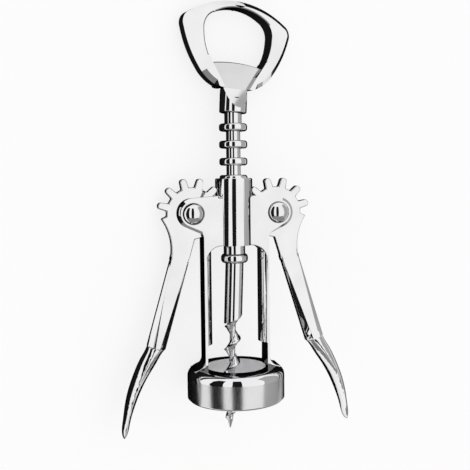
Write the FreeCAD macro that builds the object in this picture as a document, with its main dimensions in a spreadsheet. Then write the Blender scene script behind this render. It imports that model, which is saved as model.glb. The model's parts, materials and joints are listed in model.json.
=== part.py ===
"""Wing corkscrew with a bottle-opener handle, as a parametric FreeCAD document.

The pieces are worked out standing upright, with the spindle on Z, the front towards -Y
and Z = 0 in the plane of the lever and worm points. The finished corkscrew is then laid
on its back, as it comes to rest: on the collar's round side and the handle's far edge.
"""
import FreeCAD, Part
import math
import os
import re

import Sketcher
from FreeCAD import Placement, Rotation, Vector

# Driving dimensions: millimetres, degrees and counts
SIZES = (
    ("collar_lift", 12.1, "underside of the collar above the plane of the points"),
    ("collar_radius", 19.5, "outside of the collar that sits on the bottle"),
    ("collar_height", 13.1, "height of the collar"),
    ("mouth_radius", 15.75, "recess that takes the lip of the bottle"),
    ("mouth_depth", 9.2, "depth of that recess from below"),
    ("eye_radius", 12.0, "hole above the recess, smaller than the lip"),
    ("shoulder_round", 3.5, "rounding of the collar's upper edge"),
    ("collar_bevel", 0.9, "bevel on the collar's lower edge"),
    ("window_height", 48.8, "open height between collar and crown"),
    ("window_half", 12.15, "half the width between the two arms"),
    ("window_corner", 6.2, "rounding inside the crown's corners"),
    ("arm_thickness", 0.95, "thickness of each arm beside its rib"),
    ("yoke_depth", 9.8, "arms, crown and ears from front to back"),
    ("foot_inset", 2.2, "flared foot of an arm in from the collar's outside"),
    ("foot_sink", 2.2, "foot's end below the collar's top"),
    ("rib_bulge", 2.6, "round rib on the inner side of each arm"),
    ("rib_start", 9.7, "lower end of the rib above the collar"),
    ("barrel_radius", 7.4, "outside of the barrel"),
    ("barrel_height", 26.4, "barrel above the crown's underside"),
    ("barrel_bevel", 0.4, "bevel of the barrel's upper rim"),
    ("bore_clearance", 0.2, "gap between rack rings and barrel bore"),
    ("pivot_height", 12.8, "lever pivots above the crown's underside"),
    ("ear_radius", 6.0, "round end of an ear about its pivot"),
    ("ear_rise", 0.7, "how far an ear's top edge climbs towards the barrel"),
    ("ear_drop", 8.3, "start of an ear's lower edge below the pivot"),
    ("side_clearance", 0.25, "gap between a lever's hub and each ear"),
    ("wheel_clearance", 0.45, "gap round the tips of the teeth in the casting"),
    ("rivet_radius", 2.5, "shank of a pivot rivet"),
    ("hinge_clearance", 0.05, "running gap round a rivet and in the ferrule"),
    ("dome_radius", 4.35, "round rivet head"),
    ("dome_height", 2.6, "height of the rivet head"),
    ("rack_pitch", 6.7, "distance from ring to ring"),
    ("rack_rings", 7, "rings on the rack"),
    ("ring_radius", 5.55, "outside of a rack ring"),
    ("ring_thickness", 2.9, "thickness of a rack ring"),
    ("ring_round", 0.6, "rounding of a ring's rim"),
    ("rod_radius", 2.8, "rod between the rings"),
    ("neck_radius", 3.4, "rod above the top ring"),
    ("rack_drop", 6.7, "lowest ring's middle below the pivots"),
    ("rack_foot", 2.6, "rod below the lowest ring's middle"),
    ("rack_neck", 5.6, "rod from the top ring's middle to the handle's shank"),
    ("rack_tenon", 6.0, "rod inside the handle's shank"),
    ("mesh_depth", 1.4, "pitch line of the mesh outside the rod"),
    ("rod_gap", 0.3, "gap between the teeth and the rod"),
    ("gear_teeth", 12, "teeth that a whole wheel would have"),
    ("cut_teeth", 7, "teeth that are on the lever"),
    ("tooth_depth", 3.8, "height of a tooth"),
    ("tooth_width", 2.6, "width of a tooth at its rounded end"),
    ("tooth_root", 3.15, "width of a tooth at its root"),
    ("tooth_nose", 1.45, "radius of a tooth's rounded end"),
    ("valley_round", 0.8, "rounding between teeth"),
    ("wing_thickness", 3.6, "thickness of the toothed plate"),
    ("wing_splay", 16.65, "lever's angle from straight down at rest"),
    ("wing_lean", 0.6, "play of the mesh that both levers lean by at rest"),
    ("lever_width", 7.2, "width of the lever below its neck"),
    ("elbow_width", 7.3, "width of the lever at the elbow"),
    ("elbow_reach", 54.3, "pivot to elbow"),
    ("elbow_depth", 7.2, "front to back at the elbow"),
    ("elbow_edge", 2.6, "thickness left at the lever's edges at the elbow"),
    ("elbow_face", 2.4, "width left of the lever's flat face at the elbow"),
    ("neck_reach", 20.0, "pivot to the end of the neck"),
    ("neck_round", 20.0, "hollow of the neck below the last tooth"),
    ("spur_out", 11.2, "last half tooth's corner, out from the lever's middle"),
    ("spur_down", 5.2, "and down from the pivot"),
    ("pad_length", 37.3, "elbow to the point of the thumb pad"),
    ("pad_bow", 2.4, "outward bow of the pad"),
    ("pad_offset", 3.0, "pad's point out from the lever's middle"),
    ("pad_root", 7.3, "pad's thickness at the elbow"),
    ("pad_end", 2.1, "pad's thickness near its point"),
    ("pad_point", 0.9, "thickness of the point"),
    ("pad_swell", 2.8, "extra half width in the middle of the pad"),
    ("pad_tip_width", 4.2, "width of the point"),
    ("shank_radius", 5.4, "handle's round shank"),
    ("shank_height", 9.3, "shank below the handle's ring"),
    ("shank_round", 0.5, "rounding of the shank's lower edge"),
    ("facet_start", 1.8, "lower end of the shank's flat above its foot"),
    ("handle_thickness", 6.6, "thickness of the handle's ring"),
    ("handle_half", 23.3, "half the width of the handle's ring"),
    ("handle_foot", 7.0, "half the width of the ring's lower edge"),
    ("handle_hip", 16.6, "half the width where the sides begin"),
    ("hip_height", 7.1, "rise from the ring's lower edge to the sides"),
    ("hip_round", 17.0, "rounding of the ring's lower corners"),
    ("side_height", 21.4, "rise from the lower edge to the top of the sides"),
    ("side_round", 42.5, "slight bow of the sides"),
    ("corner_inset", 2.3, "upper corner's end in from the widest point"),
    ("corner_rise", 5.8, "upper corner's height"),
    ("corner_round", 4.6, "rounding of the upper corners"),
    ("bow_round", 37.8, "arch of the ring's top edge"),
    ("hole_foot", 12.0, "half the width of the ring's hole at the tongue"),
    ("hole_half", 14.95, "half the width of the hole"),
    ("tongue_height", 10.3, "tongue's edge above the ring's lower edge"),
    ("hole_side", 10.4, "height of the hole's sides"),
    ("hole_side_round", 21.5, "bow of the hole's sides"),
    ("hole_corner", 11.3, "half the width of the hole's top arch"),
    ("hole_corner_rise", 7.1, "height of the hole's upper corners"),
    ("hole_corner_round", 6.8, "rounding of the hole's upper corners"),
    ("hole_bow_round", 22.0, "arch of the hole's top"),
    ("tongue_thickness", 2.8, "thickness of the opener's tongue"),
    ("tongue_taper", 3.4, "tongue's half width lost towards the shank"),
    ("handle_turn", 16.0, "handle's turn about the spindle at rest"),
    ("handle_lean", 3.0, "how far the handle leans askew on the spindle"),
    ("bead_radius", 5.35, "ferrule's bead"),
    ("bead_height", 3.7, "height of the bead"),
    ("bead_round", 1.4, "rounding of the bead"),
    ("sleeve_radius", 4.3, "ferrule above the bead"),
    ("sleeve_height", 6.9, "height of that sleeve"),
    ("ferrule_gap", 0.05, "end play of the ferrule"),
    ("worm_shank", 2.5, "worm inside the ferrule"),
    ("worm_tenon", 1.6, "worm inside the rack rod"),
    ("tenon_length", 8.0, "length of that tenon"),
    ("shaft_radius", 3.6, "plain shaft of the worm"),
    ("shaft_length", 22.5, "length of the plain shaft"),
    ("shaft_slant", 27.0, "slant of the shaft's lower end"),
    ("worm_radius", 3.3, "outside of the worm's thread"),
    ("worm_core", 1.15, "core of the worm"),
    ("worm_pitch", 9.3, "rise of one turn of the worm"),
    ("worm_phase", 60.0, "direction of the thread at the shaft's end"),
    ("worm_edge", 0.18, "radius of the thread's edge"),
    ("worm_taper", 13.0, "length over which the worm comes to a point"),
    ("worm_point", 0.25, "radius of the point"),
    ("worm_lean", 2.2, "lean of the worm out of the spindle's line"),
)

# Dimensions that follow from them, in the order in which they are worked out
WORKED_OUT = (
    ("collar_top", "collar_lift + collar_height"),
    ("crown_level", "collar_top + window_height"),
    ("barrel_top", "crown_level + barrel_height"),
    ("pivot_level", "crown_level + pivot_height"),
    ("bore_radius", "ring_radius + bore_clearance"),
    ("arm_outer", "window_half + arm_thickness"),
    ("pitch_radius", "gear_teeth * rack_pitch / (2 * pi)"),
    ("pivot_spread", "pitch_radius + rod_radius + mesh_depth"),
    ("tooth_radius", "pivot_spread - rod_radius - rod_gap"),
    ("foot_level", "collar_top - foot_sink"),
    ("foot_flare", "collar_radius - foot_inset - arm_outer"),
    ("rib_level", "collar_top + rib_start"),
    ("rib_round", "(yoke_depth ^ 2 / 4 + rib_bulge ^ 2) / (2 * rib_bulge)"),
    ("root_radius", "tooth_radius - tooth_depth"),
    ("tooth_angle", "360 / gear_teeth"),
    ("mesh_angle", "(rack_pitch - rack_drop) / pitch_radius * 180 / pi"),
    ("first_tooth", "wing_splay + mesh_angle - tooth_angle / 2"),
    ("nose_start", "tooth_radius - tooth_nose + sqrt(tooth_nose ^ 2 - tooth_width ^ 2 / 4)"),
    ("wheel_radius", "tooth_radius + wheel_clearance"),
    ("slot_width", "wing_thickness + 2 * side_clearance"),
    ("hub_bore", "rivet_radius + hinge_clearance"),
    ("ear_foot", "pivot_level - ear_drop"),
    ("ear_run", "pivot_spread - arm_outer"),
    ("ear_line", "sqrt(ear_run ^ 2 + ear_drop ^ 2)"),
    ("ear_tangent", "sqrt(ear_line ^ 2 - ear_radius ^ 2)"),
    ("ear_slope", "atan(ear_drop / ear_run) - asin(ear_radius / ear_line)"),
    ("ear_side", "arm_outer + ear_tangent * cos(ear_slope)"),
    ("ear_under", "ear_foot + ear_tangent * sin(ear_slope)"),
    ("ear_top", "pivot_level + ear_radius"),
    ("dome_sphere", "(dome_radius ^ 2 + dome_height ^ 2) / (2 * dome_height)"),
    ("dome_latitude", "asin((dome_sphere - dome_height) / dome_sphere)"),
    ("rack_bottom", "pivot_level - rack_drop - rack_foot"),
    ("rack_length", "rack_foot + (rack_rings - 1) * rack_pitch + rack_neck + rack_tenon"),
    ("shank_level", "rack_bottom + rack_length - rack_tenon"),
    ("neck_level", "shank_level - rack_neck"),
    ("ferrule_bottom", "rack_bottom - ferrule_gap - sleeve_height - bead_height"),
    ("shaft_top", "ferrule_bottom - ferrule_gap"),
    ("ferrule_bore", "worm_shank + hinge_clearance"),
    ("ring_foot", "shank_height"),
    ("hip_level", "ring_foot + hip_height"),
    ("side_level", "ring_foot + side_height"),
    ("corner_level", "side_level + corner_rise"),
    ("corner_half", "handle_half - corner_inset"),
    ("tongue_level", "ring_foot + tongue_height"),
    ("hole_side_level", "tongue_level + hole_side"),
    ("hole_corner_level", "hole_side_level + hole_corner_rise"),
    ("recess_depth", "(handle_thickness - tongue_thickness) / 2"),
)

doc = FreeCAD.newDocument("corkscrew")
sheet = doc.addObject("Spreadsheet::Sheet", "Sizes")
worked = doc.addObject("App::VarSet", "Worked")
probe = doc.addObject("App::VarSet", "Probe")
probe.addProperty("App::PropertyFloat", "Number", "Probe", "last expression looked up")

OWNER = {alias: "Sizes" for alias, _, _ in SIZES}


def bound(text):
    """An expression in which each named dimension points at the object that holds it."""
    return re.sub(
        r"[a-z_]{3,}",
        lambda word: OWNER[word[0]] + "." + word[0] if word[0] in OWNER else word[0],
        text,
    )


def value(text):
    """The present value of an expression in named dimensions."""
    probe.setExpression("Number", bound(text))
    probe.recompute()
    return probe.Number


def fill_sheet():
    """Writes the driving dimensions, then the ones that follow from them."""
    for row, (alias, number, note) in enumerate(SIZES, start=1):
        sheet.set(f"A{row}", alias.replace("_", " "))
        sheet.set(f"B{row}", str(number))
        sheet.set(f"C{row}", note)
        sheet.setAlias(f"B{row}", alias)
    doc.recompute()
    for name, text in WORKED_OUT:
        worked.addProperty("App::PropertyFloat", name, "Worked", text)
        worked.setExpression(name, bound(text))
        OWNER[name] = "Worked"
    doc.recompute()


def bind(thing, **texts):
    """Ties properties to named dimensions; a double underscore stands for a dot."""
    for key, text in texts.items():
        thing.setExpression(key.replace("__", "."), bound(text))
    return thing


def plane_of(body, role):
    """A body's own origin plane or axis."""
    return next(f for f in body.Origin.OriginFeatures if f.Role == role)


def arc_between(start, end, radius, clockwise):
    """The shorter arc from start to end and whether it runs from its own first point."""
    chord = end - start
    rise = math.sqrt(max(radius**2 - chord.Length**2 / 4, 0))
    normal = Vector(-chord.y, chord.x, 0).normalize() * (-rise if clockwise else rise)
    centre = (start + end) / 2 + normal
    angles = [math.atan2(p.y - centre.y, p.x - centre.x) for p in (start, end)]
    if clockwise:
        angles.reverse()
    circle = Part.Circle(centre, Vector(0, 0, 1), radius)
    return Part.ArcOfCircle(circle, *angles)


def outline(body, name, corners, plane="XZ_Plane"):
    """A closed sketch. A corner is (across, up), or (across, up, radius, turn) where the edge
    that leaves it is an arc, with turn "left" for counterclockwise and "right" for clockwise."""
    sketch = body.newObject("Sketcher::SketchObject", name)
    sketch.AttachmentSupport = [(plane_of(body, plane), "")]
    sketch.MapMode = "FlatFace"
    points = [Vector(value(c[0]), value(c[1]), 0) for c in corners]
    starts, ends = [], []
    for index, corner in enumerate(corners):
        first, last = points[index], points[(index + 1) % len(points)]
        backwards = len(corner) > 2 and corner[3] == "right"
        if len(corner) > 2:
            edge = arc_between(first, last, value(corner[2]), backwards)
        else:
            edge = Part.LineSegment(first, last)
        sketch.addGeometry(edge, False)
        starts.append(2 if backwards else 1)
        ends.append(1 if backwards else 2)
    for index, corner in enumerate(corners):
        following = (index + 1) % len(corners)
        sketch.addConstraint(
            Sketcher.Constraint("Coincident", index, ends[index], following, starts[following])
        )
        if len(corner) > 2:
            held = sketch.addConstraint(
                Sketcher.Constraint("Radius", index, value(corner[2]))
            )
            sketch.setExpression(f"Constraints[{held}]", bound(corner[2]))
        for kind, text, axis in (("DistanceX", corner[0], -2), ("DistanceY", corner[1], -1)):
            if text == "0":
                sketch.addConstraint(
                    Sketcher.Constraint("PointOnObject", index, starts[index], axis)
                )
                continue
            held = sketch.addConstraint(
                Sketcher.Constraint(kind, -1, 1, index, starts[index], value(text))
            )
            sketch.setExpression(f"Constraints[{held}]", bound(text))
    return sketch


def circle(body, name, across, up, radius, plane="XZ_Plane"):
    """A sketch of one circle."""
    sketch = body.newObject("Sketcher::SketchObject", name)
    sketch.AttachmentSupport = [(plane_of(body, plane), "")]
    sketch.MapMode = "FlatFace"
    centre = Vector(value(across), value(up), 0)
    sketch.addGeometry(Part.Circle(centre, Vector(0, 0, 1), value(radius)), False)
    held = sketch.addConstraint(Sketcher.Constraint("Radius", 0, value(radius)))
    sketch.setExpression(f"Constraints[{held}]", bound(radius))
    for kind, text, axis in (("DistanceX", across, -2), ("DistanceY", up, -1)):
        if text == "0":
            sketch.addConstraint(Sketcher.Constraint("PointOnObject", 0, 3, axis))
            continue
        held = sketch.addConstraint(Sketcher.Constraint(kind, -1, 1, 0, 3, value(text)))
        sketch.setExpression(f"Constraints[{held}]", bound(text))
    return sketch


def slab(body, kind, name, sketch, width):
    """A Pad or Pocket of a sketch, as far to each side of its plane."""
    feature = body.newObject("PartDesign::" + kind, name)
    feature.Profile = sketch
    feature.SideType = "Symmetric"
    bind(feature, Length=width)
    return feature


def turned(body, kind, name, sketch):
    """A full Revolution or Groove of a sketch about its upright axis."""
    feature = body.newObject("PartDesign::" + kind, name)
    feature.Profile = sketch
    feature.ReferenceAxis = (sketch, ["V_Axis"])
    feature.Angle = 360
    return feature


def softened(body, kind, name, radius, wanted):
    """A Fillet or Chamfer of the edges of the body so far that wanted() picks."""
    doc.recompute()
    base = body.Tip
    picked = [
        f"Edge{number}"
        for number, edge in enumerate(base.Shape.Edges, start=1)
        if wanted(edge)
    ]
    if not picked:
        raise RuntimeError(f"{name}: no edge to soften")
    feature = body.newObject("PartDesign::" + kind, name)
    feature.Base = (base, picked)
    bind(feature, **{"Radius" if kind == "Fillet" else "Size": radius})
    return feature


def make_casting():
    """The frame: collar, two arms, crown, ears and barrel in one casting."""
    body = doc.addObject("PartDesign::Body", "frame_casting")
    slab(body, "Pad", "yoke", outline(body, "yoke_outline", (
        ("arm_outer + foot_flare", "foot_level", "foot_flare", "right"),
        ("arm_outer", "foot_level + foot_flare"),
        ("arm_outer", "ear_foot"),
        ("ear_side", "ear_under", "ear_radius", "left"),
        ("pivot_spread", "ear_top"),
        ("barrel_radius", "ear_top + ear_rise"),
        ("-barrel_radius", "ear_top + ear_rise"),
        ("-pivot_spread", "ear_top", "ear_radius", "left"),
        ("-ear_side", "ear_under"),
        ("-arm_outer", "ear_foot"),
        ("-arm_outer", "foot_level + foot_flare", "foot_flare", "right"),
        ("-arm_outer - foot_flare", "foot_level"),
    )), "yoke_depth")
    slab(body, "Pocket", "window", outline(body, "window_outline", (
        ("window_half", "collar_lift"),
        ("window_half", "crown_level - window_corner", "window_corner", "left"),
        ("window_half - window_corner", "crown_level"),
        ("window_corner - window_half", "crown_level", "window_corner", "left"),
        ("-window_half", "crown_level - window_corner"),
        ("-window_half", "collar_lift"),
    )), "2 * yoke_depth")
    for side, sign, turn in (("right", "", "right"), ("left", "-", "left")):
        profile = outline(body, side + "_rib_section", (
            (sign + "window_half", "-yoke_depth / 2", "rib_round", turn),
            (sign + "window_half", "yoke_depth / 2"),
            (sign + "(window_half + arm_thickness / 2)", "yoke_depth / 2"),
            (sign + "(window_half + arm_thickness / 2)", "-yoke_depth / 2"),
        ), "XY_Plane")
        bind(profile, AttachmentOffset__Base__z="rib_level")
        rib = body.newObject("PartDesign::Pad", side + "_rib")
        rib.Profile = profile
        bind(rib, Length="crown_level - rib_level")
    turned(body, "Revolution", "collar", outline(body, "collar_section", (
        ("mouth_radius", "collar_lift"),
        ("collar_radius - collar_bevel", "collar_lift"),
        ("collar_radius", "collar_lift + collar_bevel"),
        ("collar_radius", "collar_top - shoulder_round", "shoulder_round", "left"),
        ("collar_radius - shoulder_round", "collar_top"),
        ("eye_radius", "collar_top"),
        ("eye_radius", "collar_lift + mouth_depth"),
        ("mouth_radius", "collar_lift + mouth_depth"),
    )))
    turned(body, "Revolution", "barrel", outline(body, "barrel_section", (
        ("0", "crown_level"),
        ("barrel_radius", "crown_level"),
        ("barrel_radius", "barrel_top - barrel_bevel"),
        ("barrel_radius - barrel_bevel", "barrel_top"),
        ("0", "barrel_top"),
    )))
    turned(body, "Groove", "bore", outline(body, "bore_section", (
        ("0", "crown_level - window_corner"),
        ("bore_radius", "crown_level - window_corner"),
        ("bore_radius", "barrel_top + window_corner"),
        ("0", "barrel_top + window_corner"),
    )))
    turned(body, "Groove", "eye", outline(body, "eye_section", (
        ("0", "collar_lift"),
        ("eye_radius", "collar_lift"),
        ("eye_radius", "collar_top"),
        ("0", "collar_top"),
    )))
    for side, sign in (("right", ""), ("left", "-")):
        wheel = circle(body, side + "_wheel", sign + "pivot_spread", "pivot_level", "wheel_radius")
        slab(body, "Pocket", side + "_wheel_slot", wheel, "slot_width")
    slab(body, "Pocket", "barrel_slot", outline(body, "slot_outline", (
        ("barrel_radius + barrel_bevel", "pivot_level"),
        ("barrel_radius + barrel_bevel", "barrel_top + barrel_bevel"),
        ("-barrel_radius - barrel_bevel", "barrel_top + barrel_bevel"),
        ("-barrel_radius - barrel_bevel", "pivot_level"),
    )), "slot_width")
    for side, sign in (("right", ""), ("left", "-")):
        hole = circle(body, side + "_hole", sign + "pivot_spread", "pivot_level", "rivet_radius")
        slab(body, "Pocket", side + "_rivet_hole", hole, "2 * yoke_depth")
    return body


def make_rivet(side, sign):
    """A pivot rivet: a shank through both ears with a round head on each."""
    shank = doc.addObject("Part::Cylinder", side + "_rivet_shank")
    bind(
        shank,
        Radius="rivet_radius",
        Height="yoke_depth",
        Placement__Base__y="yoke_depth / 2",
        Placement__Base__x=sign + "pivot_spread",
        Placement__Base__z="pivot_level",
    )
    shank.Placement.Rotation = Rotation(Vector(1, 0, 0), 90)
    pieces = [shank]
    for face, way in (("front", "-"), ("back", "")):
        dome = doc.addObject("Part::Sphere", f"{side}_{face}_dome")
        dome.Placement.Rotation = Rotation(Vector(1, 0, 0), 90 if face == "front" else -90)
        bind(
            dome,
            Radius="dome_sphere",
            Angle1="dome_latitude",
            Placement__Base__x=sign + "pivot_spread",
            Placement__Base__y=way + "(yoke_depth / 2 + dome_height - dome_sphere)",
            Placement__Base__z="pivot_level",
        )
        pieces.append(dome)
    rivet = doc.addObject("Part::MultiFuse", "pivot_rivet_" + side)
    rivet.Shapes = pieces
    return rivet


def make_rack():
    """The rod with rings all round it, which both toothed levers drive at any turn."""
    body = doc.addObject("PartDesign::Body", "rack_spindle")
    turned(body, "Revolution", "rod", outline(body, "rod_section", (
        ("0", "rack_bottom"),
        ("rod_radius", "rack_bottom"),
        ("rod_radius", "neck_level"),
        ("neck_radius", "neck_level"),
        ("neck_radius", "rack_bottom + rack_length"),
        ("0", "rack_bottom + rack_length"),
    )))
    ring_sketch = outline(body, "ring_section", (
        ("0", "rack_bottom + rack_foot - ring_thickness / 2"),
        ("ring_radius", "rack_bottom + rack_foot - ring_thickness / 2"),
        ("ring_radius", "rack_bottom + rack_foot + ring_thickness / 2"),
        ("0", "rack_bottom + rack_foot + ring_thickness / 2"),
    ))
    ring = turned(body, "Revolution", "ring", ring_sketch)
    doc.recompute()
    rings = body.newObject("PartDesign::LinearPattern", "rings")
    rings.Originals = [ring]
    rings.Direction = (ring_sketch, ["V_Axis"])
    bind(rings, Length="rack_pitch * (rack_rings - 1)", Occurrences="rack_rings")
    body.Tip = rings
    socket = turned(body, "Groove", "worm_socket", outline(body, "socket_section", (
        ("0", "rack_bottom"),
        ("worm_tenon", "rack_bottom"),
        ("worm_tenon", "rack_bottom + tenon_length"),
        ("0", "rack_bottom + tenon_length"),
    )))
    body.Tip = socket
    rim = value("ring_radius")
    softened(body, "Fillet", "ring_rims", "ring_round", lambda edge: (
        edge.Curve.TypeId == "Part::GeomCircle" and abs(edge.Curve.Radius - rim) < 0.001
    ))
    return body


def make_handle():
    """The handle: a flat ring for the fingers, with a cap lifter's tongue and a round shank.
    Its own Z = 0 is the foot of the shank."""
    body = doc.addObject("PartDesign::Body", "opener_handle")
    slab(body, "Pad", "ring_plate", outline(body, "ring_outline", (
        ("handle_foot", "ring_foot", "hip_round", "left"),
        ("handle_hip", "hip_level", "side_round", "left"),
        ("handle_half", "side_level", "corner_round", "left"),
        ("corner_half", "corner_level", "bow_round", "left"),
        ("-corner_half", "corner_level", "corner_round", "left"),
        ("-handle_half", "side_level", "side_round", "left"),
        ("-handle_hip", "hip_level", "hip_round", "left"),
        ("-handle_foot", "ring_foot"),
    )), "handle_thickness")
    slab(body, "Pocket", "finger_hole", outline(body, "hole_outline", (
        ("hole_foot", "tongue_level", "hole_side_round", "left"),
        ("hole_half", "hole_side_level", "hole_corner_round", "left"),
        ("hole_corner", "hole_corner_level", "hole_bow_round", "left"),
        ("-hole_corner", "hole_corner_level", "hole_corner_round", "left"),
        ("-hole_half", "hole_side_level", "hole_side_round", "left"),
        ("-hole_foot", "tongue_level"),
    )), "2 * handle_thickness")
    turned(body, "Revolution", "shank", outline(body, "shank_section", (
        ("0", "0"),
        ("shank_radius - shank_round", "0", "shank_round", "left"),
        ("shank_radius", "shank_round"),
        ("shank_radius", "ring_foot + recess_depth"),
        ("0", "ring_foot + recess_depth"),
    )))
    for face, way in (("front", ""), ("back", "-")):
        recess = outline(body, face + "_recess", (
            ("-hole_foot", "tongue_level + recess_depth"),
            ("-hole_foot", "tongue_level"),
            ("tongue_taper - hole_foot", "ring_foot + tongue_height / 2"),
            ("-shank_radius", "ring_foot"),
            ("shank_radius", "ring_foot"),
            ("hole_foot - tongue_taper", "ring_foot + tongue_height / 2"),
            ("hole_foot", "tongue_level"),
            ("hole_foot", "tongue_level + recess_depth"),
        ))
        bind(recess, AttachmentOffset__Base__z=way + "tongue_thickness / 2")
        pocket = body.newObject("PartDesign::Pocket", face + "_tongue_face")
        pocket.Profile = recess
        pocket.Reversed = face == "front"
        bind(pocket, Length="shank_radius")
        slab(body, "Pocket", face + "_facet", outline(body, face + "_facet_outline", (
            (("-" if face == "front" else "") + "shank_radius", "facet_start"),
            (("-" if face == "front" else "") + "tongue_thickness / 2", "ring_foot"),
            (("-" if face == "front" else "") + "shank_radius", "ring_foot"),
        ), "YZ_Plane"), "2 * shank_radius")
    socket = outline(body, "rack_socket_section", (
        ("0", "-shank_round"),
        ("neck_radius", "-shank_round"),
        ("neck_radius", "rack_tenon"),
        ("0", "rack_tenon"),
    ))
    bind(socket, AttachmentOffset__Rotation__Angle="handle_lean")
    turned(body, "Groove", "rack_socket", socket)
    return body


def make_ferrule():
    """The stop ferrule: a bead and sleeve that run on the worm's shank under the rack."""
    body = doc.addObject("PartDesign::Body", "stop_ferrule")
    turned(body, "Revolution", "ferrule", outline(body, "ferrule_section", (
        ("ferrule_bore", "ferrule_bottom"),
        ("bead_radius - bead_round", "ferrule_bottom", "bead_round", "left"),
        ("bead_radius", "ferrule_bottom + bead_round"),
        ("bead_radius", "ferrule_bottom + bead_height - bead_round", "bead_round", "left"),
        ("bead_radius - bead_round", "ferrule_bottom + bead_height"),
        ("sleeve_radius", "ferrule_bottom + bead_height"),
        ("sleeve_radius", "ferrule_bottom + bead_height + sleeve_height"),
        ("ferrule_bore", "ferrule_bottom + bead_height + sleeve_height"),
    )))
    return body


def lens(across, thickness, half_width, down):
    """A pointed oval section of the thumb pad, with its edges to the front and back."""
    front, back = Vector(across, -half_width, -down), Vector(across, half_width, -down)
    outer = Vector(across + thickness / 2, 0, -down)
    inner = Vector(across - thickness / 2, 0, -down)
    return Part.Wire([
        Part.Arc(front, outer, back).toShape(),
        Part.Arc(back, inner, front).toShape(),
    ])


def bevelled(width, depth, face, edge, down):
    """An eight-cornered section of the lever."""
    corners = [
        (-width / 2, -edge / 2), (-face / 2, -depth / 2), (face / 2, -depth / 2),
        (width / 2, -edge / 2), (width / 2, edge / 2), (face / 2, depth / 2),
        (-face / 2, depth / 2), (-width / 2, edge / 2),
    ]
    points = [Vector(x, y, -down) for x, y in corners]
    return Part.makePolygon(points + points[:1])


def lever_solid():
    """The lever below its neck and the curved thumb pad, hanging straight down."""
    thickness, reach = value("wing_thickness"), value("elbow_reach")
    bevel = value("side_clearance")
    upper = bevelled(
        value("lever_width"), thickness, value("lever_width") - 2 * bevel,
        thickness - 2 * bevel, value("neck_reach - lever_width / 2"),
    )
    lower = bevelled(
        value("elbow_width"), value("elbow_depth"), value("elbow_face"),
        value("elbow_edge"), reach,
    )
    bar = Part.makeLoft([upper, lower], True, True)
    root, end = value("pad_root"), value("pad_end")
    sections = []
    for share in (0, 0.15, 0.31, 0.48, 0.66, 0.84, 0.95, 1):
        arch = math.sin(math.pi * share)
        across = value("pad_offset") * share + value("pad_bow") * arch
        thick = value("pad_point") if share == 1 else root + (end - root) * share
        half = (value("elbow_depth") * (1 - share) + value("pad_tip_width") * share) / 2
        half += value("pad_swell") * arch
        sections.append(lens(across, thick, half, reach + value("pad_length") * share))
    pad = Part.makeLoft(sections, True, False)
    return bar.fuse(pad)


def make_wing_blank():
    """The right lever before it is drilled, hanging straight down from the origin."""
    lever = doc.addObject("Part::Feature", "lever_and_pad")
    lever.Shape = lever_solid()
    body = doc.addObject("PartDesign::Body", "toothed_plate")
    slab(body, "Pad", "hub", circle(body, "hub_circle", "0", "0", "root_radius"), "wing_thickness")
    slab(body, "Pad", "neck", outline(body, "neck_outline", (
        ("-lever_width / 2", "-rivet_radius"),
        ("-lever_width / 2", "-neck_reach"),
        ("lever_width / 2", "-neck_reach", "neck_round", "right"),
        ("spur_out", "-spur_down"),
        ("root_radius * 0.87", "-root_radius * 0.3"),
    )), "wing_thickness")
    tooth_sketch = outline(body, "tooth_outline", (
        ("-root_radius * 0.9", "-tooth_root / 2"),
        ("-root_radius * 0.9", "tooth_root / 2"),
        ("-nose_start", "tooth_width / 2", "tooth_nose", "left"),
        ("-nose_start", "-tooth_width / 2"),
    ))
    bind(tooth_sketch, AttachmentOffset__Rotation__Angle="-first_tooth")
    tooth = slab(body, "Pad", "tooth", tooth_sketch, "wing_thickness")
    doc.recompute()
    teeth = body.newObject("PartDesign::PolarPattern", "teeth")
    teeth.Originals = [tooth]
    teeth.Axis = (plane_of(body, "Y_Axis"), [""])
    bind(teeth, Angle="tooth_angle * (cut_teeth - 1)", Occurrences="cut_teeth")
    body.Tip = teeth
    blank = doc.addObject("Part::MultiFuse", "wing_blank")
    blank.Shapes = [body, lever]
    return blank


def make_wing(side, blank):
    """A lever with its pivot at the origin, drilled for the rivet."""
    bore = doc.addObject("Part::Cylinder", side + "_wing_bore")
    bore.Placement.Rotation = Rotation(Vector(1, 0, 0), 90)
    bind(bore, Radius="hub_bore", Height="2 * wing_thickness", Placement__Base__y="wing_thickness")
    wing = doc.addObject("Part::Cut", "wing_" + side)
    wing.Base = blank
    wing.Tool = bore
    return wing


def auger_section():
    """One level section of the worm: its core with one sharp thread standing out."""
    core, tip, edge = value("worm_core"), value("worm_radius"), value("worm_edge")
    centre = tip - edge
    slope = math.acos((core - edge) / centre)
    low = Vector(core * math.cos(slope), -core * math.sin(slope), 0)
    high = Vector(low.x, -low.y, 0)
    out_low = Vector(centre + edge * math.cos(slope), -edge * math.sin(slope), 0)
    out_high = Vector(out_low.x, -out_low.y, 0)
    return Part.Wire([
        Part.LineSegment(low, out_low).toShape(),
        Part.Arc(out_low, Vector(tip, 0, 0), out_high).toShape(),
        Part.LineSegment(out_high, high).toShape(),
        Part.Arc(high, Vector(-core, 0, 0), low).toShape(),
    ])


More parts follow.
